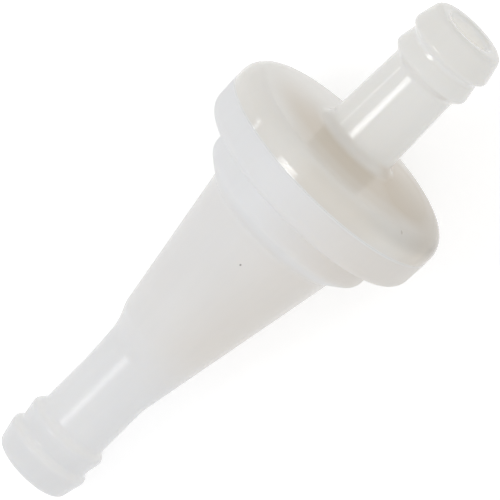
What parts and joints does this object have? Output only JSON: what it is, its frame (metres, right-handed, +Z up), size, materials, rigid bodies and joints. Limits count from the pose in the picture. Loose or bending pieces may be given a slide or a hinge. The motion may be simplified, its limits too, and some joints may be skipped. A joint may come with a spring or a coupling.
{
  "type": "inline fuel filter",
  "caption": "Small see-through inline fuel filter: a milky cone housing with barbed hose ends, a welded flange cap and a conical screen inside.",
  "frame": {"origin": "on the ground, in the middle of the box around the filter as it lies on its flange and its inlet barb", "axes": "+X from the inlet towards the outlet, in the plan of the filter's axis; +Z up. The filter's axis rises 12.19 degrees from +X"},
  "size_m": [0.054, 0.0224, 0.0223],
  "materials": {
    "milky_nylon": "natural milky nylon, moulded gloss",
    "frame_nylon": "natural nylon, satin",
    "screen_nylon": "woven nylon monofilament"
  },
  "bodies": {
    "root": {"inlet_housing": "milky_nylon", "outlet_cap": "milky_nylon", "screen_frame": "frame_nylon", "screen_mesh": "screen_nylon"}
  },
  "joints": []
}
